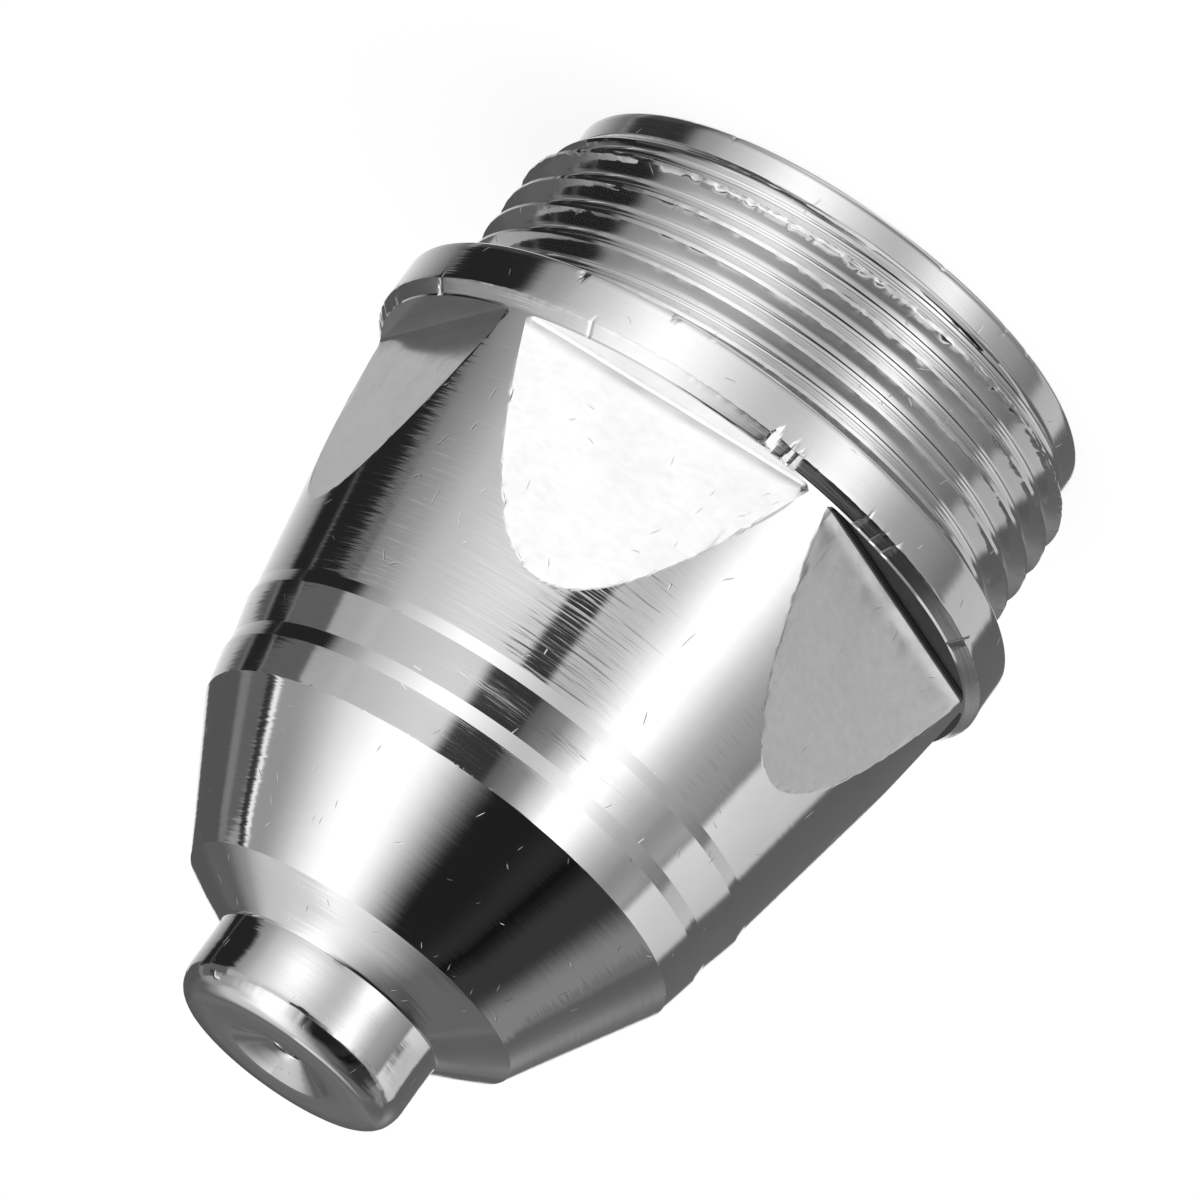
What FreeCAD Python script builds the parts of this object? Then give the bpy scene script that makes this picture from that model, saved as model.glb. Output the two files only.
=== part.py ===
import FreeCAD, Part
import math
import os

# Plasma cutting torch nozzle, turned from one copper bar and plated.
# It stands on its thread end at the origin, with the cutting tip up along +Z.
# From the thread end up it has a plain pilot land, a threaded neck, a flange,
# a slow cone with six wrench flats milled into it, two turned witness rings,
# a steep cone, a shoulder and a rounded nose with the arc orifice.
# Every size is in millimetres.

# Threaded neck, kept at its crest diameter
thread_dia = 23.7
thread_lead_in = 1.15
neck_length = 8.15

# Pilot land, turned down below the thread, that guides it into the torch head
land_step = 0.8
land_length = 1.1
land_edge_break = 0.12

# Flange whose rear face seats on the torch head
seat_width = 1.4
flange_width = 2.15
flange_rear_break = 0.1
flange_front_chamfer = 0.4

# Slow cone that carries the wrench flats
cone_length = 11.25
cone_half_angle = 10.3

# Two turned rings, each followed by a short tapered band
first_ring_width = 0.5
first_band_length = 1.56
first_band_half_angle = 14.7
second_ring_width = 0.6
second_band_length = 1.44
second_band_half_angle = 12.9

# Steep cone, then a shoulder that runs down to the nose
steep_length = 5.35
steep_half_angle = 30.0
shoulder_half_angle = 60.0
nose_root_radius = 0.18

# Nose, with a turned rim that stops at a small edge on the flat face
nose_dia = 9.3
nose_straight = 2.15
rim_height = 1.0
rim_inset = 0.8

# Arc orifice and the countersink at its mouth
orifice_dia = 1.5
orifice_length = 4.1
countersink_dia = 4.2
countersink_depth = 0.6

# Six wrench flats, milled in from the flange's rim, with a ledge left beside it
flat_count = 6
flat_depth = 1.95
ledge_rim = 0.1
flat_root_radius = 0.35

# Hollow inside, for the electrode and its swirl ring
mouth_chamfer = 0.4
rear_wall = 1.45
rear_bore_depth = 12.0
seat_length = 2.1
chamber_dia = 15.0
chamber_depth = 21.3
throat_dia = 5.2
throat_floor_length = 1.1


def taper(length, half_angle):
    """How much a cone's radius falls over a length, for a half angle in degrees."""
    return length * math.tan(math.radians(half_angle))


def on_axis(radius, height):
    """A point of the half section, at a radius and a height."""
    return FreeCAD.Vector(radius, 0, height)


def rounded_corner(before, corner, after, radius):
    """Arc of a radius that touches both legs of a corner: its start, middle and end."""
    back = (before - corner).normalize()
    ahead = (after - corner).normalize()
    half_angle = back.getAngle(ahead) / 2
    reach = radius / math.tan(half_angle)
    bisector = (back + ahead).normalize()
    centre = corner + bisector * (radius / math.sin(half_angle))
    return corner + back * reach, centre - bisector * radius, corner + ahead * reach


def half_section():
    """Closed outline of the nozzle's wall on one side of the axis."""
    flange_z = neck_length
    cone_z = flange_z + flange_width
    ring_z = cone_z + cone_length
    band_z = ring_z + first_ring_width
    second_ring_z = band_z + first_band_length
    second_band_z = second_ring_z + second_ring_width
    steep_z = second_band_z + second_band_length
    shoulder_z = steep_z + steep_length

    thread_r = thread_dia / 2
    land_r = thread_r - land_step
    bore_r = land_r - rear_wall
    flange_r = thread_r + seat_width
    cone_base_r = flange_r - flange_front_chamfer
    first_ring_r = cone_base_r - taper(cone_length, cone_half_angle)
    second_ring_r = first_ring_r - taper(first_band_length, first_band_half_angle)
    steep_r = second_ring_r - taper(second_band_length, second_band_half_angle)
    shoulder_r = steep_r - taper(steep_length, steep_half_angle)
    nose_r = nose_dia / 2
    face_r = nose_r - rim_inset

    nose_z = shoulder_z + (shoulder_r - nose_r) / taper(1, shoulder_half_angle)
    rim_z = nose_z + nose_straight
    tip_z = rim_z + rim_height

    root_start, root_middle, root_end = rounded_corner(
        on_axis(shoulder_r, shoulder_z),
        on_axis(nose_r, nose_z),
        on_axis(nose_r, rim_z),
        nose_root_radius,
    )

    outside = [
        on_axis(bore_r + mouth_chamfer, 0),
        on_axis(land_r - land_edge_break, 0),
        on_axis(land_r, land_edge_break),
        on_axis(land_r, land_length),
        on_axis(thread_r, land_length + thread_lead_in),
        on_axis(thread_r, flange_z),
        on_axis(flange_r - flange_rear_break, flange_z),
        on_axis(flange_r, flange_z + flange_rear_break),
        on_axis(flange_r, cone_z - flange_front_chamfer),
        on_axis(cone_base_r, cone_z),
        on_axis(first_ring_r, ring_z),
        on_axis(first_ring_r, band_z),
        on_axis(second_ring_r, second_ring_z),
        on_axis(second_ring_r, second_band_z),
        on_axis(steep_r, steep_z),
        on_axis(shoulder_r, shoulder_z),
        root_start,
    ]

    # The rim's arc leaves the nose wall tangent and meets the face at an angle
    rim_radius = (rim_inset ** 2 + rim_height ** 2) / (2 * rim_inset)
    half_sweep = math.asin(rim_height / rim_radius) / 2
    rim_middle = on_axis(
        nose_r - rim_radius + rim_radius * math.cos(half_sweep),
        rim_z + rim_radius * math.sin(half_sweep),
    )

    floor_z = tip_z - countersink_depth - orifice_length
    inside = [
        on_axis(face_r, tip_z),
        on_axis(countersink_dia / 2, tip_z),
        on_axis(orifice_dia / 2, tip_z - countersink_depth),
        on_axis(orifice_dia / 2, floor_z),
        on_axis(throat_dia / 2, floor_z - throat_floor_length),
        on_axis(chamber_dia / 2, chamber_depth),
        on_axis(chamber_dia / 2, rear_bore_depth + seat_length),
        on_axis(bore_r, rear_bore_depth),
        on_axis(bore_r, mouth_chamfer),
        outside[0],
    ]

    edges = [Part.LineSegment(a, b) for a, b in zip(outside, outside[1:])]
    edges.append(Part.Arc(root_start, root_middle, root_end))
    edges.append(Part.LineSegment(root_end, on_axis(nose_r, rim_z)))
    edges.append(Part.Arc(on_axis(nose_r, rim_z), rim_middle, on_axis(face_r, tip_z)))
    edges += [Part.LineSegment(a, b) for a, b in zip(inside, inside[1:])]
    return Part.Wire([edge.toShape() for edge in edges])


def wrench_flat_cutter(ledge_z, top_z):
    """What the mill takes away at a flat facing +X: a long bar with one rounded edge."""
    flange_r = thread_dia / 2 + seat_width
    flat_r = flange_r - flat_depth
    far_r = 2 * flange_r
    top = on_axis(flat_r, top_z)
    far_foot = on_axis(far_r, ledge_z)
    far_top = on_axis(far_r, top_z)
    root_start, root_middle, root_end = rounded_corner(
        top,
        on_axis(flat_r, ledge_z),
        far_foot,
        flat_root_radius,
    )
    edges = [
        Part.LineSegment(top, root_start),
        Part.Arc(root_start, root_middle, root_end),
        Part.LineSegment(root_end, far_foot),
        Part.LineSegment(far_foot, far_top),
        Part.LineSegment(far_top, top),
    ]
    section = Part.Face(Part.Wire([edge.toShape() for edge in edges]))
    section.translate(FreeCAD.Vector(0, -far_r, 0))
    return section.extrude(FreeCAD.Vector(0, 2 * far_r, 0))


def nozzle():
    """Turned body with its wrench flats milled in, evenly spaced round the axis."""
    origin = FreeCAD.Vector(0, 0, 0)
    axis = FreeCAD.Vector(0, 0, 1)
    body = Part.Face(half_section()).revolve(origin, axis, 360)
    ledge_z = neck_length + flange_width + ledge_rim
    for k in range(flat_count):
        cutter = wrench_flat_cutter(ledge_z, body.BoundBox.ZMax + 1)
        cutter.rotate(origin, axis, 360 / flat_count * (k + 0.5))
        body = body.cut(cutter)
    return body.Solids[0]


os.makedirs("parts", exist_ok=True)
nozzle().exportStep("parts/nozzle.step")
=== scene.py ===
import math

import bpy
import numpy as np
from mathutils import Matrix, Vector


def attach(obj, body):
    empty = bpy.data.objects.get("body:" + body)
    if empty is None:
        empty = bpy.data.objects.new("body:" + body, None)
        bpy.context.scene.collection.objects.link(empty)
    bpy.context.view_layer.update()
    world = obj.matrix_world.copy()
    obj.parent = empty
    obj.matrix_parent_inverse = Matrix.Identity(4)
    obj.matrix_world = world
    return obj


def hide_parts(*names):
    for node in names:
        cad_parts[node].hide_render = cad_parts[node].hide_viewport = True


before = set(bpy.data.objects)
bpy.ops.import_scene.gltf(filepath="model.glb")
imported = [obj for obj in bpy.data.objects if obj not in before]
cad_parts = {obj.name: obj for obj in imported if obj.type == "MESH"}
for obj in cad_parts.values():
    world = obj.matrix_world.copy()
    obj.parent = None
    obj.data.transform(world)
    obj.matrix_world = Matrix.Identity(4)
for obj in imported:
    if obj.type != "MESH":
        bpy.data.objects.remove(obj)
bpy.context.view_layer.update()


# Camera, a long lens that looks down on the standing nozzle and is rolled
# until the tip points to the lower left of the picture.
VIEW_AZIMUTH = 13.21
VIEW_ELEVATION = 18.103
VIEW_ROLL = 143.99
VIEW_DISTANCE = 0.317763
VIEW_AIM = Vector((0.00040957, -0.0000961, 0.0143354))

azimuth, elevation, roll = (math.radians(a) for a in (VIEW_AZIMUTH, VIEW_ELEVATION, VIEW_ROLL))
forward = Vector(
    (
        math.sin(azimuth) * math.cos(elevation),
        math.cos(azimuth) * math.cos(elevation),
        -math.sin(elevation),
    )
)
level = forward.cross(Vector((0, 0, 1))).normalized()
upright = level.cross(forward)
right = level * math.cos(roll) - upright * math.sin(roll)
up = upright * math.cos(roll) + level * math.sin(roll)

lens = bpy.data.cameras.new("camera")
lens.sensor_width = 36.0
lens.lens = 261.295
lens.clip_start = 0.01
lens.clip_end = 10.0
camera = bpy.data.objects.new("camera", lens)
bpy.context.scene.collection.objects.link(camera)
bpy.context.scene.camera = camera
place = Matrix((right, up, -forward)).transposed().to_4x4()
place.translation = VIEW_AIM - forward * VIEW_DISTANCE
camera.matrix_world = place


# Bar of copper on the lathe, whose surface is one grid: its columns run along
# the axis, denser on the side with more marks and beside the flange's larger
# knocks, and each turned feature below adds its rows. Sizes are in millimetres.
# The flats before one azimuth were milled with a worn cutter.
FLATS = 6
FLAT_CORNER = 28.1
BACK_SIDE, FRONT_SIDE = (30, 90, 150), (210, 270, 330)
BACK_STEPS, FRONT_STEPS = 32, 78
WORN_CUTTER_END = 240.0
KNOCKED = (224.8, 228.0, 232.0, 246.8, 248.2, 251.8, 274.5, 285.8, 291.8, 320.8)


def sector(centre, steps):
    """Column angles of one wrench flat and half a rib on each side of it, in degrees."""
    half = 180 / FLATS
    return centre + np.concatenate(
        [
            np.linspace(-half, -FLAT_CORNER, 3)[:-1],
            np.linspace(-FLAT_CORNER, FLAT_CORNER, steps + 1)[:-1],
            np.linspace(FLAT_CORNER, half, 3)[:-1],
        ]
    )


turn = np.concatenate(
    [sector(c, BACK_STEPS) for c in BACK_SIDE]
    + [sector(c, FRONT_STEPS) for c in FRONT_SIDE]
    + [[360.0]]
)
beside = np.array([-0.9, -0.45, 0.0, 0.45, 0.9])
turn = np.unique(np.concatenate([turn, (np.array(KNOCKED)[:, None] + beside).ravel()]))
columns = len(turn)
face_angle = np.radians((turn % (360 / FLATS)) - 180 / FLATS)


def rounded(outline, radius, steps=2):
    """Rounds the corners of an outline. Each inner corner becomes an arc that
    touches both its legs, worked out as a slerp between its two ends."""
    p = np.asarray(outline, float)
    radius = np.broadcast_to(np.asarray(radius, float), len(p) - 2)
    back = p[:-2] - p[1:-1]
    ahead = p[2:] - p[1:-1]
    back /= np.linalg.norm(back, axis=1, keepdims=True)
    ahead /= np.linalg.norm(ahead, axis=1, keepdims=True)
    half = np.arccos((back * ahead).sum(1)) / 2
    middle = back + ahead
    middle /= np.linalg.norm(middle, axis=1, keepdims=True)
    centre = p[1:-1] + middle * (radius / np.sin(half))[:, None]
    reach = (radius / np.tan(half))[:, None]
    first = p[1:-1] + back * reach - centre
    last = p[1:-1] + ahead * reach - centre
    sweep = (np.pi - 2 * half)[:, None, None]
    u = np.linspace(0, 1, steps + 1)[None, :, None]
    arc = np.sin((1 - u) * sweep) * first[:, None] + np.sin(u * sweep) * last[:, None]
    arc = centre[:, None] + arc / np.sin(sweep)
    return np.concatenate([p[:1], arc.reshape(-1, 2), p[-1:]])


def divided(outline, longest):
    """Puts points between those of an outline, evenly, so that none is further
    from the next than the longest step."""
    p = np.asarray(outline, float)
    span = np.linalg.norm(np.diff(p, axis=0), axis=1)
    parts = np.maximum(1, np.ceil(span / longest)).astype(int)
    start = np.repeat(np.arange(len(parts)), parts)
    step = np.arange(parts.sum()) - np.repeat(np.cumsum(parts) - parts, parts)
    share = (step / np.repeat(parts, parts))[:, None]
    return np.concatenate([p[start] + share * (p[start + 1] - p[start]), p[-1:]])


def turned(outline):
    """Rows of a turned surface: the same radius and height at every column."""
    p = np.asarray(outline, float)
    return np.repeat(p[:, :1], columns, 1), np.repeat(p[:, 1:], columns, 1)


def pressed_in(r, z, edge_r, marks):
    """Radius of a turned rim with wedges pressed in. Each mark has an azimuth in
    degrees, the heights of its point and its base, and the half width and the
    depth of its base. It widens and deepens evenly towards its base, and across
    it its floor slopes down from one side to a short wall at the other."""
    azimuth_k, point_k, base_k, half_k, depth_k = np.array(marks).T[:, None, None, :]
    opened = np.clip((z[..., None] - point_k) / (base_k - point_k), 0, 1.4)
    half = half_k * opened + 1e-6
    aside = (turn[None, :, None] - azimuth_k) * math.radians(1) * edge_r / half
    slope = 0.5 + 0.5 * aside
    wall = 5 - 5 * aside
    floor = np.clip(np.minimum(slope, wall), 0, 1)
    return r - (depth_k * opened * floor).max(-1)


def ragged(seed, count, size):
    """A wavering value round the bar, from -size to size: random knots joined
    smoothly, the last knot being the first."""
    knots = np.random.default_rng(seed).uniform(-size, size, count)
    at = turn / 360 * count
    low = np.floor(at).astype(int) % count
    ease = at % 1
    ease = ease * ease * (3 - 2 * ease)
    return knots[low] * (1 - ease) + knots[(low + 1) % count] * ease


# Mouth and pilot land, the plain ring at the thread end. The bore's mouth is
# chamfered, and the rim is broken by a light cut.
BORE_R = 9.6
BORE_JOIN_Z = 6.0
MOUTH_CHAMFER = 0.4
LAND_R = 11.05
LAND_LENGTH = 1.1
LAND_EDGE_BREAK = 0.12
THREAD_ROOT_R = 11.0

mouth_outline = rounded(
    [
        (BORE_R, BORE_JOIN_Z),
        (BORE_R, MOUTH_CHAMFER),
        (BORE_R + MOUTH_CHAMFER, 0.0),
        (LAND_R - LAND_EDGE_BREAK, 0.0),
        (LAND_R, LAND_EDGE_BREAK),
        (LAND_R, LAND_LENGTH),
        (THREAD_ROOT_R, LAND_LENGTH),
    ],
    [0.05, 0.05, 0.05, 0.05, 0.03],
    1,
)
mouth_outline = np.concatenate([mouth_outline[:8], divided(mouth_outline[8:], 0.2)])
mouth_r, mouth_z = turned(mouth_outline)

nicks = [
    (225.8, 0.45, 0.0, 0.16, 0.07),
    (218.0, 0.35, 0.0, 0.2, 0.06),
    (216.5, 0.3, 0.0, 0.1, 0.05),
    (243.0, 0.25, 0.0, 0.14, 0.04),
    (291.0, 0.3, 0.0, 0.2, 0.05),
    (302.0, 0.3, 0.0, 0.12, 0.05),
    (171.0, 0.4, 0.0, 0.18, 0.06),
    (84.0, 0.35, 0.0, 0.2, 0.06),
    (37.0, 0.3, 0.0, 0.12, 0.05),
]
on_rim = mouth_r > LAND_R - 0.5
mouth_r = np.where(on_rim, pressed_in(mouth_r, mouth_z, LAND_R, nicks), mouth_r)


# Thread, cut with a single point: right-hand, fine, with small burrs rolled
# along its crests. It starts on a lead-in cone and runs out into a relief. Its
# root is the flank's depth held to a limit by a soft corner.
PITCH = 1.27
THREAD_R = 11.85
CREST_R = 11.84
CUT_DEPTH = 0.71
ROOT_SOFTNESS = 0.06
FLANK_ANGLE = 30.0
CREST_HALF = 0.07
FIRST_CREST = 2.39
CREST_AZIMUTH = 256.79
LEAD_IN_END = 2.25
RELIEF_START = 7.93
RELIEF_R = 11.2
FLANGE_Z = 8.15

groove = np.array([0.0, 0.07, 0.1, 0.22, 0.36, 0.43, 0.48, 0.54])
groove = np.concatenate([groove, [PITCH / 2], PITCH - groove[:0:-1]])
turns = np.arange(-2, 6)
along = (turns[:, None] * PITCH + groove[None]).ravel()[:, None]
crest_z = FIRST_CREST + PITCH * (turn - CREST_AZIMUTH) / 360

thread_z = np.clip(crest_z + along, LAND_LENGTH, RELIEF_START)
phase = np.abs((thread_z - crest_z + PITCH / 2) % PITCH - PITCH / 2)
flank = np.maximum(0, (phase - CREST_HALF) / math.tan(math.radians(FLANK_ANGLE)))
cut = CUT_DEPTH - ROOT_SOFTNESS * np.logaddexp(0, (CUT_DEPTH - flank) / ROOT_SOFTNESS)
thread_r = CREST_R - np.maximum(cut, 0)
lead_in_slope = (THREAD_R - LAND_R) / (LEAD_IN_END - LAND_LENGTH)
thread_r = np.minimum(thread_r, LAND_R + (thread_z - LAND_LENGTH) * lead_in_slope)
crest = np.clip((0.09 - phase) / 0.02, 0, 1)
turn_number = np.floor((thread_z - crest_z + PITCH / 2) / PITCH + 1e-9)
wound = turn_number + (turn - CREST_AZIMUTH) / 360
worn = 0.15 + 0.85 * np.exp(-(np.abs(wound) * 1.1))
burr_r = ragged(3, 300, 0.03) + ragged(4, 90, 0.02)
burr_z = ragged(5, 120, 0.04) + ragged(6, 400, 0.02)
swap = np.cos(wound * 2.1 + 0.5)
thread_r = thread_r + crest * worn * (burr_r * swap - 0.015)
moved = thread_z + crest * worn * burr_z * np.sin(wound * 1.7 + 1.0)
free = (thread_z > LAND_LENGTH + 0.1) & (thread_z < RELIEF_START - 0.1)
thread_z = np.where(free, moved, thread_z)


# Flange, whose rear face seats on the torch head. Its rim has a few knocks,
# each a small wedge pressed in from an edge.
FLANGE_R = 13.25
FLANGE_FRONT = 10.3
FLANGE_REAR_BREAK = 0.1
FLANGE_CHAMFER = 0.4
CONE_BASE_R = 12.85

flange_outline = rounded(
    [
        (RELIEF_R, RELIEF_START),
        (RELIEF_R, FLANGE_Z),
        (FLANGE_R - FLANGE_REAR_BREAK, FLANGE_Z),
        (FLANGE_R, FLANGE_Z + FLANGE_REAR_BREAK),
        (FLANGE_R, FLANGE_FRONT - FLANGE_CHAMFER),
        (CONE_BASE_R, FLANGE_FRONT),
        (CONE_BASE_R - 0.015, FLANGE_FRONT + 0.08),
    ],
    [0.02, 0.05, 0.06, 0.05, 0.03],
)
flange_r, flange_z = turned(divided(flange_outline, 0.2))

knocks = [
    (251.6, 9.25, 10.0, 0.22, 0.17),
    (248.2, 9.45, 10.0, 0.11, 0.08),
    (246.6, 9.5, 10.0, 0.12, 0.08),
    (232.0, 9.5, 10.0, 0.1, 0.06),
    (228.0, 9.7, 10.0, 0.12, 0.04),
    (224.8, 9.55, 10.0, 0.14, 0.06),
    (285.8, 9.65, 10.0, 0.07, 0.04),
    (291.8, 8.75, 8.1, 0.32, 0.12),
    (274.5, 8.55, 8.1, 0.3, 0.1),
    (268.0, 8.45, 8.1, 0.22, 0.07),
    (320.8, 9.55, 10.0, 0.12, 0.06),
    (338.0, 9.6, 10.0, 0.3, 0.07),
    (343.0, 9.7, 10.0, 0.14, 0.05),
    (348.5, 9.5, 10.0, 0.24, 0.08),
    (355.0, 9.6, 10.0, 0.16, 0.05),
    (200.0, 9.4, 10.0, 0.2, 0.1),
    (163.0, 8.6, 8.1, 0.2, 0.08),
    (118.0, 9.35, 10.0, 0.22, 0.1),
    (104.0, 9.5, 10.0, 0.14, 0.07),
    (61.0, 9.3, 10.0, 0.18, 0.1),
    (24.0, 8.6, 8.1, 0.25, 0.09),
]
dented = pressed_in(flange_r, flange_z, FLANGE_R, knocks)
dented = np.where(flange_r > THREAD_R + 0.15, dented, flange_r)
flange_knocked = flange_r - dented > 0.002
flange_r = dented
off_edge = np.abs(flange_z - (FLANGE_FRONT - FLANGE_CHAMFER))
front_edge = np.clip(1 - off_edge / 0.06, 0, 1) * (flange_r > FLANGE_R - 0.25)
flange_z = flange_z + front_edge * ragged(11, 500, 0.02)


# Slow cone with its six wrench flats. A side mill leaves each flat a ledge
# beside the flange, a small root radius that eases onto the flat, and a little
# burr where it runs out on the cone. The worn cutter eases longer and deeper.
CONE_SLOPE = math.tan(math.radians(10.3))
FLAT_R = 11.3
LEDGE_Z = 10.4
ROOT_R = 0.16
BLEND_LENGTH, BLEND_DEPTH, BLEND_FADE = 0.5, 0.07, 0.4
FLAT_LEAN = 0.005
RING_Z = 21.55


def cone_r(height):
    """Radius of the slow cone at a height."""
    return CONE_BASE_R - (height - FLANGE_FRONT) * CONE_SLOPE


cosine = np.cos(face_angle)
milled = np.abs(face_angle) <= math.radians(FLAT_CORNER) + 1e-9
low = np.zeros(columns)
high = np.full(columns, np.pi / 2)
for _ in range(40):
    beta = (low + high) / 2
    out = (FLAT_R + ROOT_R * (1 - np.sin(beta))) / cosine
    inside_cone = out < cone_r(LEDGE_Z + ROOT_R * (1 - np.cos(beta)))
    low = np.where(inside_cone, low, beta)
    high = np.where(inside_cone, beta, high)
root_start = np.where(milled, high, np.pi / 2)
root_start = np.where((FLAT_R + ROOT_R) / cosine < cone_r(LEDGE_Z), 0, root_start)
share = np.linspace(0, 1, 5)[:, None]
beta = root_start + share * (np.pi / 2 - root_start)
root_z = LEDGE_Z + ROOT_R * (1 - np.cos(beta))
root_r = (FLAT_R + ROOT_R * (1 - np.sin(beta))) / cosine
root_r = np.where(milled, root_r, cone_r(root_z))
rim_z = root_z[:1]
rim_r = cone_r(rim_z)
foot = FLAT_R - FLAT_LEAN * (LEDGE_Z + ROOT_R)
end_z = CONE_BASE_R + FLANGE_FRONT * CONE_SLOPE - foot / cosine
end_z = end_z / (CONE_SLOPE + FLAT_LEAN / cosine)
waver = (ragged(13, 500, 0.03) + ragged(14, 150, 0.03)) * (1 + 8 * np.abs(face_angle))
waver = waver * np.clip(end_z - root_z[-1] - 0.6, 0, 1)
end_z = np.where(milled, np.maximum(end_z, root_z[-1]) + waver, root_z[-1])
share = np.array([0.02, 0.04, 0.065, 0.1, 0.16, 0.4, 0.7, 0.95, 0.985, 1.0])[:, None]
flat_z = root_z[-1] + share * (end_z - root_z[-1])
leaning = FLAT_R + FLAT_LEAN * (flat_z - root_z[-1])
flat_r = np.where(milled, leaning / cosine, cone_r(flat_z))
by_worn_cutter = turn < WORN_CUTTER_END
eased = BLEND_LENGTH * (1 + ragged(12, 90, 0.25)) * np.where(by_worn_cutter, 1.8, 1)
ease_depth = BLEND_DEPTH * np.where(by_worn_cutter, 1.4, 1)
blend = np.clip(1 - (flat_z - LEDGE_Z - ROOT_R) / eased, 0, 1) ** 2 * ease_depth
blend = blend * np.clip((end_z - flat_z) / BLEND_FADE, 0, 1)
root_blend = ease_depth * np.clip((end_z - root_z[-1]) / BLEND_FADE, 0, 1)
flat_r = np.where(milled, np.minimum(flat_r + blend, cone_r(flat_z)), flat_r)
root_r = np.where(milled, np.minimum(root_r + root_blend, cone_r(root_z)), root_r)
edge_burr = np.maximum(ragged(15, 500, 0.05) - 0.033, 0) * (np.abs(face_angle) < 0.45)
flat_r[-1] = flat_r[-1] + np.where(milled, edge_burr, 0)
ledge_r = np.concatenate([rim_r, root_r, flat_r])
ledge_z = np.concatenate([rim_z, root_z, flat_z])

share = np.array([0.01, 0.04, 0.25, 0.6])[:, None]
cone_z = end_z + share * (RING_Z - end_z)
slow_r = cone_r(cone_z)


# Two turned rings with a tapered band after each, then the steep cone and the
# shoulder. They are cut in one pass, so their corners stay crisp, and the steep
# cone's lip has a little burr.
RING_R, BAND_R, STEEP_R, SHOULDER_R, NOSE_R = 10.8055, 10.396, 10.066, 6.978, 4.65
RING_END_Z, SECOND_RING_Z, SECOND_RING_END_Z = 22.05, 23.61, 24.21
STEEP_Z, SHOULDER_Z, NOSE_Z, NOSE_JOIN_Z = 25.65, 31.0, 32.344, 33.4

front_outline = rounded(
    [
        (cone_r(RING_Z - 0.15), RING_Z - 0.15),
        (RING_R, RING_Z),
        (RING_R, RING_END_Z),
        (BAND_R, SECOND_RING_Z),
        (BAND_R, SECOND_RING_END_Z),
        (STEEP_R, STEEP_Z),
        (SHOULDER_R, SHOULDER_Z),
        (NOSE_R, NOSE_Z),
        (NOSE_R, NOSE_JOIN_Z),
    ],
    [0.03, 0.03, 0.03, 0.03, 0.06, 0.06, 0.18],
)
lip_z = STEEP_Z + np.array([-0.1, -0.05, 0.05, 0.1])
lip_r = np.interp(lip_z, front_outline[:, 1], front_outline[:, 0])
front_outline = np.concatenate([divided(front_outline, 1.4), np.stack([lip_r, lip_z], 1)])
front_outline = front_outline[np.argsort(front_outline[:, 1], kind="stable")]
front_r, front_z = turned(front_outline)
lip = np.clip(1 - np.abs(front_z - STEEP_Z) / 0.04, 0, 1)
front_r = front_r + lip * np.maximum(ragged(18, 300, 0.015) - 0.005, 0)


# Nose and arc orifice: a straight wall, a turned rim, the flat face that is
# held over the plate, and a countersink that the arc leaves through.
TIP_Z = 35.494
RIM_Z = 34.494
RIM_RADIUS = 1.025
FACE_R = 3.8
SINK_R, SINK_DEPTH = 2.1, 0.6
ORIFICE_R, ORIFICE_END_Z = 0.75, 30.794
THROAT_R, THROAT_Z = 2.6, 29.694

rim_angle = np.linspace(0, math.asin(1 / RIM_RADIUS), 9)
rim_curve = np.stack(
    [
        NOSE_R - RIM_RADIUS * (1 - np.cos(rim_angle)),
        RIM_Z + RIM_RADIUS * np.sin(rim_angle),
    ],
    1,
)
tip_outline = rounded(
    [
        (FACE_R, TIP_Z),
        (SINK_R, TIP_Z),
        (ORIFICE_R, TIP_Z - SINK_DEPTH),
        (ORIFICE_R, ORIFICE_END_Z),
        (THROAT_R, THROAT_Z),
    ],
    [0.04, 0.06, 0.05],
)
nose_r, nose_z = turned(np.concatenate([rim_curve, divided(tip_outline, 0.7)[1:]]))

battered = np.array([0.0, 0.6, 1.0, 0.7, 0.3, 0.0])[:, None]
nose_r[:6] = nose_r[:6] - battered * (0.012 + ragged(16, 60, 0.007) + ragged(17, 140, 0.005))


# Hollow, bored from the thread end: the throat, the electrode's chamber, a
# tapered seat and the rear bore.
CHAMBER_R, CHAMBER_Z, SEAT_Z, REAR_BORE_Z = 7.5, 21.3, 14.1, 12.0

hollow_outline = rounded(
    [
        (ORIFICE_R, ORIFICE_END_Z),
        (THROAT_R, THROAT_Z),
        (CHAMBER_R, CHAMBER_Z),
        (CHAMBER_R, SEAT_Z),
        (BORE_R, REAR_BORE_Z),
        (BORE_R, BORE_JOIN_Z),
    ],
    [0.1, 0.1, 0.1, 0.1],
)
hollow_r, hollow_z = turned(hollow_outline[1:])


# Skin of the whole nozzle: the rows above joined into one closed surface. Its
# points are welded where they meet, which closes the thread on itself. A small
# odd offset keeps equal points from being rounded apart.
TURNED, THREADED, MILLED, BORED, CONE, CHAMFER, SHADED_LEDGE, FINE = range(8)
WELD_OFFSET = 3.37e-6
MAP_R = 11.0
SHARP_ANGLE, KNOCK_ANGLE = math.radians(38), math.radians(7)

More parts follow.
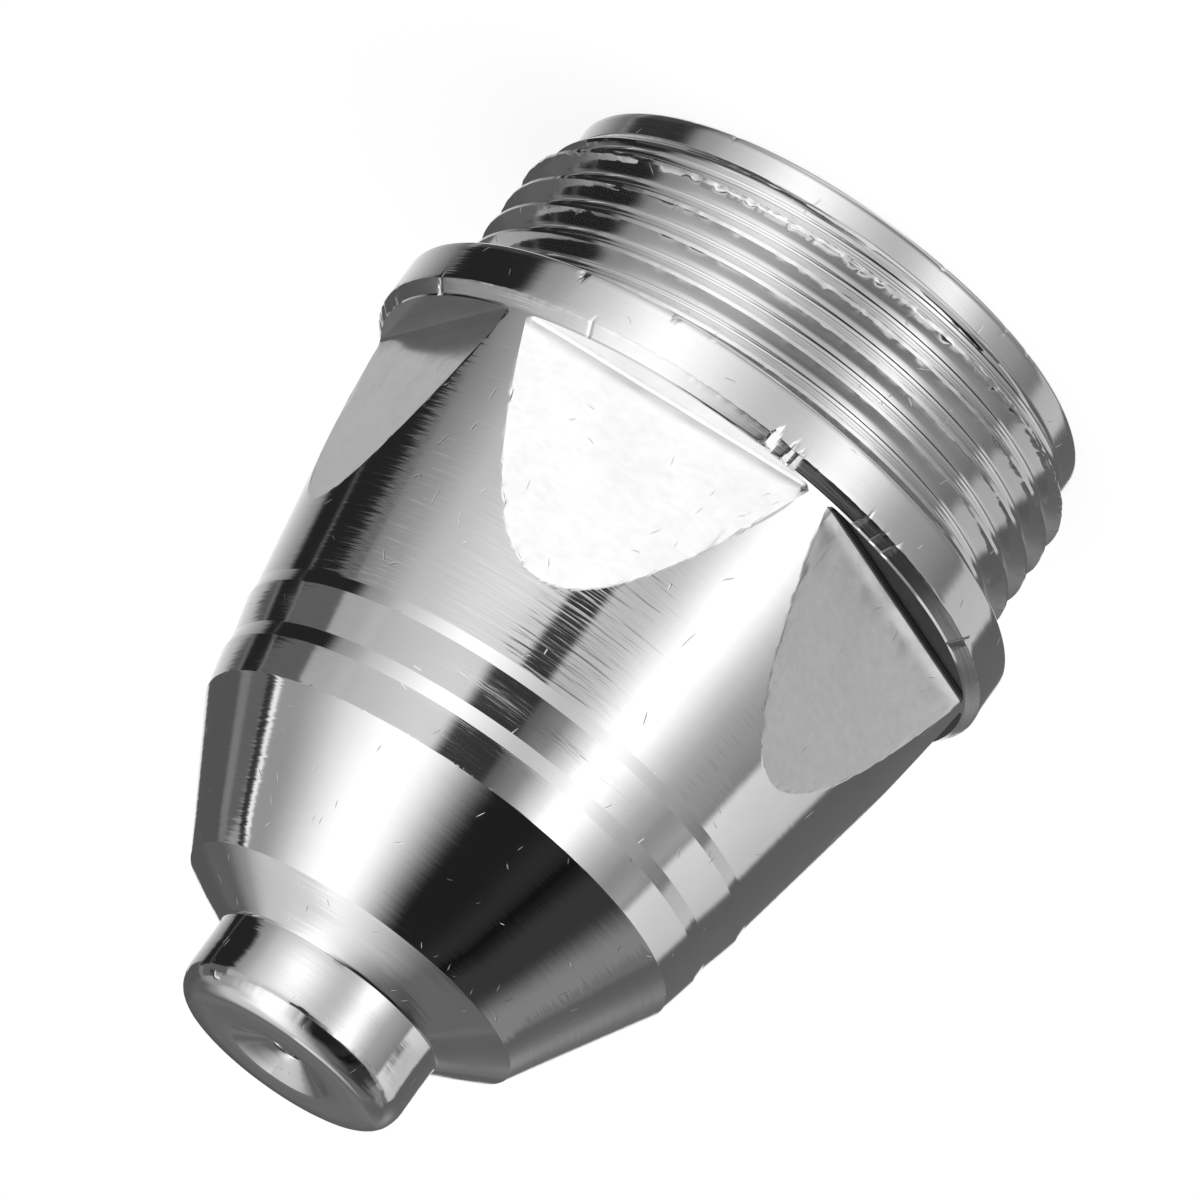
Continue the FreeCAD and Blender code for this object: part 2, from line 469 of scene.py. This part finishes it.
features = [
    (mouth_r, mouth_z, FINE),
    (thread_r, thread_z, THREADED),
    (flange_r, flange_z, TURNED),
    (ledge_r, ledge_z, CONE),
    (slow_r, cone_z, CONE),
    (front_r, front_z, CONE),
    (nose_r, nose_z, TURNED),
    (hollow_r, hollow_z, BORED),
]
radius = np.concatenate([f[0] for f in features])
height = np.concatenate([f[1] for f in features])
finish = np.repeat([f[2] for f in features], [len(f[0]) for f in features])
rows = len(radius)
angle = np.radians(turn)
angle[-1] = angle[0]
grid = np.stack([radius * np.cos(angle), radius * np.sin(angle), height], -1)

flange_first = len(mouth_r) + len(thread_r)
ledge_first = flange_first + len(flange_r)
flat_first = ledge_first + len(root_r)
flat_last = ledge_first + len(ledge_r) - 1

row_at = np.arange(rows)[:, None]
column_at = np.arange(columns - 1)[None]
a = row_at * columns + column_at
b = a + 1
c = ((row_at + 1) % rows) * columns + column_at + 1
d = c - 1
corners = np.stack([a, b, c, a, c, d], -1).reshape(-1, 3)
strip_finish = np.repeat(finish, (columns - 1) * 2)
strip_row = np.repeat(np.arange(rows), (columns - 1) * 2)
strip_worn = np.tile(np.repeat(by_worn_cutter[:-1], 2), rows)
middle_z = (height + np.roll(height, -1, 0)).mean(1)[strip_row] / 2
middle_r = (radius + np.roll(radius, -1, 0)).mean(1)[strip_row] / 2

on_flat = np.tile(np.repeat(milled[:-1] & milled[1:], 2), rows)
on_flat = on_flat & (strip_row >= ledge_first) & (strip_row < flat_last)
strip_finish = np.where(on_flat, MILLED, strip_finish)
# The rim and root rows beside the ledge, on the flats of the worn cutter, get a near-black
# plate. This is painted shade in that corner.
on_shaded_ledge = on_flat & (strip_row < flat_first) & strip_worn
strip_finish = np.where(on_shaded_ledge, SHADED_LEDGE, strip_finish)
on_bands = (middle_z > RING_Z + 0.05) & (middle_z < STEEP_Z - 0.05) & (middle_r > STEEP_R - 0.15)
strip_finish = np.where(on_bands, TURNED, strip_finish)
on_face = (middle_z > TIP_Z - 0.09) & (middle_r < FACE_R + 0.1)
strip_finish = np.where(on_face, FINE, strip_finish)
on_chamfer = (middle_z > FLANGE_FRONT - FLANGE_CHAMFER) & (middle_z < FLANGE_FRONT)
on_chamfer = on_chamfer & (middle_r > CONE_BASE_R + 0.01) & (middle_r < FLANGE_R - 0.01)
strip_finish = np.where(on_chamfer, CHAMFER, strip_finish)

points, weld = np.unique(
    np.round(grid.reshape(-1, 3) + WELD_OFFSET, 5), axis=0, return_inverse=True
)
weld = weld.reshape(-1)
triangles = weld[corners]
whole = (
    (triangles[:, 0] != triangles[:, 1])
    & (triangles[:, 1] != triangles[:, 2])
    & (triangles[:, 2] != triangles[:, 0])
)
triangles, corners, strip_finish = triangles[whole], corners[whole], strip_finish[whole]

skin = bpy.data.meshes.new("nozzle_body")
skin.from_pydata((points * 0.001).tolist(), [], triangles.tolist())
skin.polygons.foreach_set("use_smooth", np.ones(len(triangles), bool))
skin.polygons.foreach_set("material_index", strip_finish.astype(np.int32))
skin.update(calc_edges=True)
skin.set_sharp_from_angle(angle=SHARP_ANGLE)

# The flats' edges are too shallow to be found by their angle, so they are
# named by their rows: the first row of the root, and the last of the flat
edge_ids = np.empty(len(skin.edges) * 2, np.int32)
skin.edges.foreach_get("vertices", edge_ids)
edge_ids = np.sort(edge_ids.reshape(-1, 2).astype(np.int64), axis=1)
crisp = np.stack(
    [
        weld[(r * columns + np.arange(columns - 1))[:, None] + np.array([0, 1])]
        for r in (ledge_first, ledge_first + 1, flat_last)
    ]
).reshape(-1, 2)
crisp = np.sort(crisp.astype(np.int64), axis=1)
many = len(points)
is_crisp = np.isin(edge_ids[:, 0] * many + edge_ids[:, 1], crisp[:, 0] * many + crisp[:, 1])
sharp = skin.attributes.get("sharp_edge") or skin.attributes.new("sharp_edge", "BOOLEAN", "EDGE")
marked = np.empty(len(skin.edges), bool)
sharp.data.foreach_get("value", marked)
marked = marked | is_crisp

# The sides of the knocks are crisp too, at a smaller angle
knocked = np.zeros(many, bool)
knocked_row, knocked_column = np.nonzero(flange_knocked)
knocked[weld[(flange_first + knocked_row) * columns + knocked_column]] = True
skin.set_sharp_from_angle(angle=KNOCK_ANGLE)
bent = np.empty(len(skin.edges), bool)
sharp.data.foreach_get("value", bent)
marked = marked | (bent & (knocked[edge_ids[:, 0]] | knocked[edge_ids[:, 1]]))
sharp.data.foreach_set("value", marked)

step_r = np.diff(radius.mean(1), prepend=radius[0].mean())
step_z = np.diff(height.mean(1), prepend=height[0].mean())
length_along = np.cumsum(np.hypot(step_r, step_z))
layout = skin.uv_layers.new(name="surface")
flat_uv = np.stack(
    [
        np.radians(turn)[corners % columns] * MAP_R,
        length_along[corners // columns],
    ],
    -1,
)
layout.data.foreach_set("uv", flat_uv.astype(np.float32).ravel())

body = bpy.data.objects.new("nozzle_body", skin)
bpy.context.scene.collection.objects.link(body)
even = body.modifiers.new("even shading", "WEIGHTED_NORMAL")
even.keep_sharp = True
even.weight = 50


# Finish: bright nickel plate over copper, which keeps the lathe's and the
# mill's marks, with short scratches from handling.
def lathe_marks():
    """Group: rings left by the turning tool. Noise that changes fast with the
    radius and the height and slowly round the axis."""
    group = bpy.data.node_groups.new("lathe marks", "ShaderNodeTree")
    face = group.interface
    rings = face.new_socket("Rings per mm", in_out="INPUT", socket_type="NodeSocketFloat")
    rings.default_value = 9.0
    run = face.new_socket("Runs per mm", in_out="INPUT", socket_type="NodeSocketFloat")
    run.default_value = 0.8
    face.new_socket("Height", in_out="OUTPUT", socket_type="NodeSocketFloat")
    n, link = group.nodes, group.links.new
    given = n.new("NodeGroupInput")
    where = n.new("ShaderNodeTexCoord")
    scale = n.new("ShaderNodeVectorMath")
    scale.operation = "SCALE"
    scale.inputs["Scale"].default_value = 1000.0
    link(where.outputs["Object"], scale.inputs[0])
    split = n.new("ShaderNodeSeparateXYZ")
    link(scale.outputs[0], split.inputs[0])
    flat = n.new("ShaderNodeCombineXYZ")
    link(split.outputs["X"], flat.inputs["X"])
    link(split.outputs["Y"], flat.inputs["Y"])
    reach = n.new("ShaderNodeVectorMath")
    reach.operation = "LENGTH"
    link(flat.outputs[0], reach.inputs[0])

    def times(a, b):
        node = n.new("ShaderNodeMath")
        node.operation = "MULTIPLY"
        link(a, node.inputs[0])
        link(b, node.inputs[1])
        return node.outputs[0]

    spot = n.new("ShaderNodeCombineXYZ")
    link(times(split.outputs["X"], given.outputs["Runs per mm"]), spot.inputs["X"])
    link(times(split.outputs["Y"], given.outputs["Runs per mm"]), spot.inputs["Y"])
    link(times(split.outputs["Z"], given.outputs["Rings per mm"]), spot.inputs["Z"])
    noise = n.new("ShaderNodeTexNoise")
    noise.noise_dimensions = "4D"
    noise.inputs["Scale"].default_value = 1.0
    noise.inputs["Detail"].default_value = 1.5
    noise.inputs["Roughness"].default_value = 0.6
    link(spot.outputs[0], noise.inputs["Vector"])
    link(times(reach.outputs["Value"], given.outputs["Rings per mm"]), noise.inputs["W"])
    result = n.new("NodeGroupOutput")
    link(noise.outputs["Fac"], result.inputs["Height"])
    return group


def scratches():
    """Group: short straight scratches. Each cell of a Voronoi pattern on the
    surface map holds one stroke, turned by a random angle."""
    group = bpy.data.node_groups.new("scratches", "ShaderNodeTree")
    face = group.interface
    per_mm = face.new_socket("Cells per mm", in_out="INPUT", socket_type="NodeSocketFloat")
    per_mm.default_value = 1.0
    width = face.new_socket("Width", in_out="INPUT", socket_type="NodeSocketFloat")
    width.default_value = 0.03
    face.new_socket("Mask", in_out="OUTPUT", socket_type="NodeSocketFloat")
    n, link = group.nodes, group.links.new
    given = n.new("NodeGroupInput")
    where = n.new("ShaderNodeUVMap")
    where.uv_map = "surface"
    scale = n.new("ShaderNodeVectorMath")
    scale.operation = "SCALE"
    link(where.outputs[0], scale.inputs[0])
    link(given.outputs["Cells per mm"], scale.inputs["Scale"])
    cells = n.new("ShaderNodeTexVoronoi")
    cells.voronoi_dimensions = "2D"
    cells.inputs["Scale"].default_value = 1.0
    link(scale.outputs[0], cells.inputs["Vector"])
    local = n.new("ShaderNodeVectorMath")
    local.operation = "SUBTRACT"
    link(scale.outputs[0], local.inputs[0])
    link(cells.outputs["Position"], local.inputs[1])
    chance = n.new("ShaderNodeSeparateColor")
    link(cells.outputs["Color"], chance.inputs[0])
    swing = n.new("ShaderNodeMath")
    swing.operation = "MULTIPLY"
    swing.inputs[1].default_value = 6.2832
    link(chance.outputs["Red"], swing.inputs[0])
    turned_by = n.new("ShaderNodeVectorRotate")
    turned_by.rotation_type = "Z_AXIS"
    link(local.outputs[0], turned_by.inputs["Vector"])
    link(swing.outputs[0], turned_by.inputs["Angle"])
    split = n.new("ShaderNodeSeparateXYZ")
    link(turned_by.outputs[0], split.inputs[0])

    def soft_edge(value, inner, outer):
        size = n.new("ShaderNodeMath")
        size.operation = "ABSOLUTE"
        link(value, size.inputs[0])
        ramp = n.new("ShaderNodeMapRange")
        ramp.interpolation_type = "SMOOTHSTEP"
        ramp.inputs["To Min"].default_value = 1.0
        ramp.inputs["To Max"].default_value = 0.0
        link(size.outputs[0], ramp.inputs["Value"])
        if isinstance(inner, float):
            ramp.inputs["From Min"].default_value = inner
            ramp.inputs["From Max"].default_value = outer
        else:
            ramp.inputs["From Min"].default_value = 0.0
            link(inner, ramp.inputs["From Max"])
        return ramp.outputs["Result"]

    long = soft_edge(split.outputs["X"], 0.05, 0.3)
    thin = soft_edge(split.outputs["Y"], given.outputs["Width"], None)
    both = n.new("ShaderNodeMath")
    both.operation = "MULTIPLY"
    link(long, both.inputs[0])
    link(thin, both.inputs[1])
    some = n.new("ShaderNodeMath")
    some.operation = "LESS_THAN"
    some.inputs[1].default_value = 0.14
    link(chance.outputs["Green"], some.inputs[0])
    kept = n.new("ShaderNodeMath")
    kept.operation = "MULTIPLY"
    link(both.outputs[0], kept.inputs[0])
    link(some.outputs[0], kept.inputs[1])
    result = n.new("NodeGroupOutput")
    link(kept.outputs[0], result.inputs["Mask"])
    return group


marks = lathe_marks()
strokes = scratches()


def plate(name, tone, rough, rings, runs, mark_depth, stroke_depth, grain_depth, cells):
    """Nickel plate: a metal whose roughness varies a little with the tool marks
    and its tone with a soft cloud, and whose bump adds the marks, a fine grain
    and scratches."""
    material = bpy.data.materials.new(name)
    material.use_nodes = True
    n, link = material.node_tree.nodes, material.node_tree.links.new
    shader = n["Principled BSDF"]
    shader.inputs["Metallic"].default_value = 1.0
    ring = n.new("ShaderNodeGroup")
    ring.node_tree = marks
    ring.inputs["Rings per mm"].default_value = rings
    ring.inputs["Runs per mm"].default_value = runs
    stroke = n.new("ShaderNodeGroup")
    stroke.node_tree = strokes
    stroke.inputs["Cells per mm"].default_value = cells
    where = n.new("ShaderNodeTexCoord")
    grain = n.new("ShaderNodeTexNoise")
    grain.inputs["Scale"].default_value = 5000.0
    grain.inputs["Detail"].default_value = 2.0
    link(where.outputs["Object"], grain.inputs["Vector"])
    cloud = n.new("ShaderNodeTexNoise")
    cloud.inputs["Scale"].default_value = 350.0
    cloud.inputs["Detail"].default_value = 3.0
    link(where.outputs["Object"], cloud.inputs["Vector"])

    def spread(value, low, high):
        """Maps a noise's usual range, 0.3 to 0.7, to one from low to high."""
        ramp = n.new("ShaderNodeMapRange")
        ramp.inputs["From Min"].default_value = 0.3
        ramp.inputs["From Max"].default_value = 0.7
        ramp.inputs["To Min"].default_value = low
        ramp.inputs["To Max"].default_value = high
        link(value, ramp.inputs["Value"])
        return ramp.outputs[0]

    scuffed = n.new("ShaderNodeMath")
    scuffed.operation = "MULTIPLY_ADD"
    scuffed.inputs[1].default_value = 0.06
    link(stroke.outputs["Mask"], scuffed.inputs[0])
    link(spread(cloud.outputs["Fac"], tone - 0.03, tone + 0.03), scuffed.inputs[2])
    link(scuffed.outputs[0], shader.inputs["Base Color"])
    gloss = spread(ring.outputs["Height"], rough * 0.8, rough * 1.25)
    link(gloss, shader.inputs["Roughness"])

    bump = None
    for source, socket, depth in (
        (ring, "Height", mark_depth),
        (grain, "Fac", grain_depth),
        (stroke, "Mask", -stroke_depth),
    ):
        step = n.new("ShaderNodeBump")
        step.inputs["Distance"].default_value = abs(depth)
        step.invert = depth < 0
        link(source.outputs[socket], step.inputs["Height"])
        if bump:
            link(bump.outputs[0], step.inputs["Normal"])
        bump = step
    link(bump.outputs[0], shader.inputs["Normal"])
    return material


# Each row: name, tone, roughness, rings and runs per mm, the depths in metres
# of the marks, strokes and grain, and the strokes' cells per mm
PLATES = [
    ("turned plate", 0.87, 0.08, 9.0, 0.8, 3.0e-6, 6e-6, 0.3e-6, 1.3),
    ("threaded plate", 0.87, 0.09, 12.0, 0.8, 1.0e-6, 6e-6, 0.3e-6, 1.0),
    ("milled plate", 0.9, 0.17, 4.0, 2.0, 1.0e-6, 5e-6, 1.0e-6, 1.4),
    ("bored plate", 0.7, 0.25, 6.0, 0.3, 4.0e-6, 4e-6, 0.5e-6, 1.0),
    ("cone plate", 0.87, 0.07, 5.5, 0.4, 7.0e-6, 6e-6, 0.3e-6, 1.2),
    ("chamfer plate", 0.84, 0.16, 10.0, 0.5, 1.2e-5, 4e-6, 0.5e-6, 1.0),
    # Near-black tone: painted shade in the corner where the flat's root meets the ledge.
    ("ledge plate with painted shade", 0.14, 0.2, 4.0, 2.0, 1.0e-6, 8e-6, 1.0e-6, 1.0),
    ("fine plate", 0.87, 0.14, 14.0, 0.6, 1.5e-6, 6e-6, 0.5e-6, 1.0),
]
for values in PLATES:
    skin.materials.append(plate(*values))

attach(body, "root")
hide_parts("nozzle")


# Light tent round the nozzle: white cloth with a soft key light, a white strip,
# and grey and black cards. Only the plate's reflections see it.
TENT_RADIUS = 1.2
TOWARDS_CAMERA = -103.21
SIDES, RISES = 361, 181

side = np.linspace(-180, 180, SIDES)
rise = np.linspace(-90, 90, RISES)[:, None]
side_r, rise_r = np.radians(side), np.radians(rise)
lateral = np.cos(rise_r) * np.sin(side_r)


def ease(value, start, end):
    """Smooth step from 0 at the start to 1 at the end, either way round."""
    t = np.clip((value - start) / (end - start), 0, 1)
    return t * t * (3 - 2 * t)


def card(light, left, right, bottom, top, tone, soft=3.0, soft_rise=2.5):
    """Lays a card over the tent between two sides and two rises, in degrees as
    seen from the nozzle. Its tone may go evenly from one at the left edge to
    another at the right, and its edges are soft."""
    mask = ease(side, left - soft, left + soft) * (1 - ease(side, right - soft, right + soft))
    mask = mask * ease(rise, bottom - soft_rise, bottom + soft_rise)
    mask = mask * (1 - ease(rise, top - soft_rise, top + soft_rise))
    start, end = tone if isinstance(tone, tuple) else (tone, tone)
    graded = start + (end - start) * np.clip((side - left) / (right - left), 0, 1)
    return light + (graded - light) * mask


# Wall of the tent, from the left round to the right, with the glow of two
# lamps on the cloth: a key light left of the camera and a strip right of it
key = 0.2 + 0.52 * (1 - ease(rise, -16, 10))
strip = 0.67 + 0.18 * ease(rise, -14, -2)
tent = 0.5 + key * np.exp(-(((side + 32) / 25) ** 2))
tent = tent - 0.08 * ease(side, 30, 60) - 0.1 * (1 - ease(side, -78, -62))
tent = tent + strip * np.exp(-(((side - 34) / 15) ** 2))

# Cards on the left and behind it, with a black one whose edge leans, and the
# bright gap between two cloths beside it
tent = card(tent, -184, -127, -90, -6, (1.1, 0.1), 3)
tent = card(tent, -100, -74, -90, 40, (0.14, 0.4), 5)
black_edge = -89 - 24 * np.clip((rise + 12) / 12, 0, 1) ** 2
black_start = -130 + 6 * (1 - ease(rise, -21, -17)) - 3.5 * ease(rise, -16, -12)
black = ease(side, black_start - 3, black_start + 3)
black = black * (1 - ease(side, black_edge - 2, black_edge + 6))
black = black * (0.88 + 0.12 * ease(rise, -22, -20))
tent = tent + (0.018 - tent) * black * (1 - ease(rise, -1.5, 1))
seam = np.exp(-((side + 117 - 0.5 * (rise + 2)) ** 2)) * ease(rise, -16, -13)
tent = tent + (0.07 + 0.12 * ease(rise, -5.5, -4.5)) * seam * (1 - ease(rise, -1, 1))
tent = card(tent, -184, -134, -7.5, 22, 0.095, 2, 1)
tent = card(tent, -140, -130, 0, 22, 0.095, 3, 1)
tent = card(tent, -131, -105, -1, 22, (0.13, 0.12), 2, 1.5)
tent = card(tent, -131, -125, 0, 28, 0.21, 1.5, 1.5)
tent = card(tent, -107, -70, 1, 14, (0.12, 0.54), 3, 2)
tent = card(tent, -116, -92, -2.7, 14, 0.12, 1.0, 1)
tent = card(tent, -92, -80, 0, 14, (0.4, 0.43), 1.2, 1.5)

# Cards on the right, then the small black ones in front and the greys right of
# them
tent = card(tent, 58, 92, -90, 15, (0.42, 0.16), 4)
tent = card(tent, 93, 119, -90, -10, (0.5, 0.56), 2, 4)
tent = card(tent, 83, 118, -10, 10, (0.75, 0.56), 2, 4)
tent = card(tent, 97, 121, 11.5, 24, 0.17, 3, 2)
tent = card(tent, 119, 166, -90, 40, (0.115, 0.14), 2)
tent = card(tent, 167, 184, -90, -9, 1.0, 3)
tent = card(tent, 165, 184, -6, 26, 0.115, 2, 2)
tent = card(tent, -14, -2, 2, 6, 0.03, 1.5, 1)
tent = card(tent, 1, 15, 5.4, 14, (0.12, 0.3), 2.5, 1)
tent = card(tent, 12, 26, 5.4, 14, (0.25, 1.0), 2.5, 1)
tent = card(tent, -23, 2, 5.4, 14, 0.035, 3, 1)
tent = tent + 0.15 * np.exp(-(((side - 148) / 12) ** 2) - ((rise - 9) / 9) ** 2)

# Softbox overhead on the left, whose edge runs from the front to the back, and
# a black card overhead on the right
stripes = 0.09 * np.exp(-(((side - 78) / 4) ** 2)) - 0.06 * np.exp(-(((side - 67) / 4) ** 2))
tent = tent + stripes * ease(rise, -1, 4) * (1 - ease(rise, 8, 12))
across = lateral + 0.2 * np.cos(rise_r) * np.cos(side_r)
front = 1.2 * (1 - ease(across, -0.32, 0.27)) + 0.014
front = front + 0.012 * np.exp(-(((side - 45) / 8) ** 2)) + 0.025 * ease(side, 60, 70)
front = front - 0.01 * np.exp(-(((side - 56) / 3) ** 2))
back_off = -side - 0.6 * (rise - 40)
back_left = 0.33 + 0.87 * (1 - ease(back_off, 46, 106))
lift = 25 + 3 * ease(-side, 118, 138)
back_left = np.maximum(back_left, 0.6 * ease(rise, lift, lift + 24))
front = np.where(side < -40, np.minimum(front, back_left), front)
front = front + 0.2 * ease(side, 82, 102) * (1 - ease(rise, 28, 42))
front = front + 0.1 * np.exp(-(((side - 113) / 7) ** 2) - ((rise - 41) / 6) ** 2)
top = 1.05 * (1 - ease(across, -0.3, 0.28)) + 0.14
top = top * (1 - 0.35 * ease(np.abs(side), 100, 135) * (1 - 0.8 * ease(rise, 64, 75)))
overhead = front + (top - front) * ease(rise, 50, 72)
overhead = np.maximum(overhead, 0.14 * ease(side, 108, 135))
reach_down = 14 + 6 * ease(np.abs(side), 70, 110)
in_zone = ease(rise, reach_down - 1.5, reach_down + 1.5)
behind = ease(np.abs(side), 122, 140) * (1 - ease(rise, 30, 44))
tent = tent + (overhead - tent) * in_zone * (1 - behind)
tent = tent + (0.12 - tent) * behind * ease(rise, 14, 22)
off_back = np.abs((side - 172 + 180) % 360 - 180)
tent = tent + 0.06 * np.exp(-((off_back / 20) ** 2) - ((rise - 21) / 7) ** 2)

# Seam of the cloth on the left, black with a bright edge
tent = card(tent, -114.5, -109.5, 8, 28, 0.03, 0.8)
tent = card(tent, -109.5, -106.5, 10, 28, 1.0, 0.8)

# White table below, and its dim front edge
table = (1 - ease(rise, -52, -42)) * (1 - ease(np.abs(side), 80, 100))
tent = tent + (0.85 - tent) * table
dim = np.exp(-(((rise + 35) / 9) ** 2) - (side / 85) ** 4)
edge_tone = 0.17 + 0.3 * np.exp(-(((side + 36) / 22) ** 2))
tent = tent + (edge_tone - tent) * dim

tent_turn = np.radians(TOWARDS_CAMERA) - side_r
tent_grid = TENT_RADIUS * np.stack(
    [
        np.cos(rise_r) * np.cos(tent_turn),
        np.cos(rise_r) * np.sin(tent_turn),
        np.sin(rise_r) + 0 * tent_turn,
    ],
    -1,
)
first = np.arange(RISES - 1)[:, None] * SIDES + np.arange(SIDES - 1)[None]
panels = first.reshape(-1, 1) + np.array([0, 1, SIDES + 1, SIDES])
tent_mesh = bpy.data.meshes.new("light tent")
tent_mesh.from_pydata(tent_grid.reshape(-1, 3).tolist(), [], panels.tolist())
shade = tent_mesh.color_attributes.new("tone", "FLOAT_COLOR", "POINT")
tones = np.repeat(tent.reshape(-1, 1), 4, 1)
tones[:, 3] = 1
shade.data.foreach_set("color", tones.astype(np.float32).ravel())
cloth = bpy.data.materials.new("tent cloth")
cloth.use_nodes = True
nodes, join = cloth.node_tree.nodes, cloth.node_tree.links.new
nodes.remove(nodes["Principled BSDF"])
glow = nodes.new("ShaderNodeEmission")
tone = nodes.new("ShaderNodeAttribute")
tone.attribute_name = "tone"
join(tone.outputs["Color"], glow.inputs["Color"])
join(glow.outputs[0], nodes["Material Output"].inputs["Surface"])
tent_mesh.materials.append(cloth)
tent_object = bpy.data.objects.new("light_tent", tent_mesh)
bpy.context.scene.collection.objects.link(tent_object)
tent_object.visible_camera = False
tent_object.visible_diffuse = False
tent_object.visible_shadow = False


# Floor, a pale sheet that keeps a soft shadow, under one broad lamp. From below
# the sheet is clear, and only there or from very low does the camera see the
# world, which is dark grey.
FLOOR_HALF = 1.0
WORLD_GREY = (0.05, 0.05, 0.05, 1)

sheet = bpy.data.meshes.new("floor")
around = ((-1, -1), (1, -1), (1, 1), (-1, 1))
sheet.from_pydata([(FLOOR_HALF * x, FLOOR_HALF * y, 0) for x, y in around], [], [(0, 1, 2, 3)])
paper = bpy.data.materials.new("floor paper")
paper.use_nodes = True
nodes, join = paper.node_tree.nodes, paper.node_tree.links.new
matt = nodes["Principled BSDF"]
matt.inputs["Base Color"].default_value = (0.9, 0.9, 0.9, 1)
matt.inputs["Roughness"].default_value = 1.0
white = nodes.new("ShaderNodeEmission")
rays = nodes.new("ShaderNodeLightPath")
share_of = nodes.new("ShaderNodeMath")
share_of.operation = "MULTIPLY"
share_of.inputs[1].default_value = 0.92
join(rays.outputs["Is Camera Ray"], share_of.inputs[0])
mixed = nodes.new("ShaderNodeMixShader")
join(share_of.outputs[0], mixed.inputs[0])
join(matt.outputs[0], mixed.inputs[1])
join(white.outputs[0], mixed.inputs[2])
one_sided = nodes.new("ShaderNodeMixShader")
clear = nodes.new("ShaderNodeBsdfTransparent")
back = nodes.new("ShaderNodeNewGeometry")
join(back.outputs["Backfacing"], one_sided.inputs[0])
join(mixed.outputs[0], one_sided.inputs[1])
join(clear.outputs[0], one_sided.inputs[2])
join(one_sided.outputs[0], nodes["Material Output"].inputs["Surface"])
sheet.materials.append(paper)
floor = bpy.data.objects.new("floor", sheet)
bpy.context.scene.collection.objects.link(floor)
floor.visible_glossy = False

LAMP_PLACE = Vector((-0.3, -0.3, 1.1))

lamp = bpy.data.lights.new("broad lamp", "AREA")
lamp.size = 1.0
lamp.energy = 24.0
lamp_object = bpy.data.objects.new("broad lamp", lamp)
lamp_object.location = LAMP_PLACE
lamp_object.rotation_euler = LAMP_PLACE.to_track_quat("Z", "Y").to_euler()
lamp_object.visible_glossy = False
bpy.context.scene.collection.objects.link(lamp_object)

world = bpy.data.worlds.new("studio")
world.use_nodes = True
bpy.context.scene.world = world
nodes, join = world.node_tree.nodes, world.node_tree.links.new
sky = nodes["Background"]
sky.inputs["Color"].default_value = WORLD_GREY
rays = nodes.new("ShaderNodeLightPath")
seen = nodes.new("ShaderNodeMath")
seen.operation = "MAXIMUM"
join(rays.outputs["Is Camera Ray"], seen.inputs[0])
join(rays.outputs["Is Glossy Ray"], seen.inputs[1])
level_of = nodes.new("ShaderNodeMapRange")
level_of.inputs["To Min"].default_value = 0.6
level_of.inputs["To Max"].default_value = 1.0
join(seen.outputs[0], level_of.inputs["Value"])
join(level_of.outputs[0], sky.inputs["Strength"])

bpy.context.scene.view_settings.view_transform = "Standard"
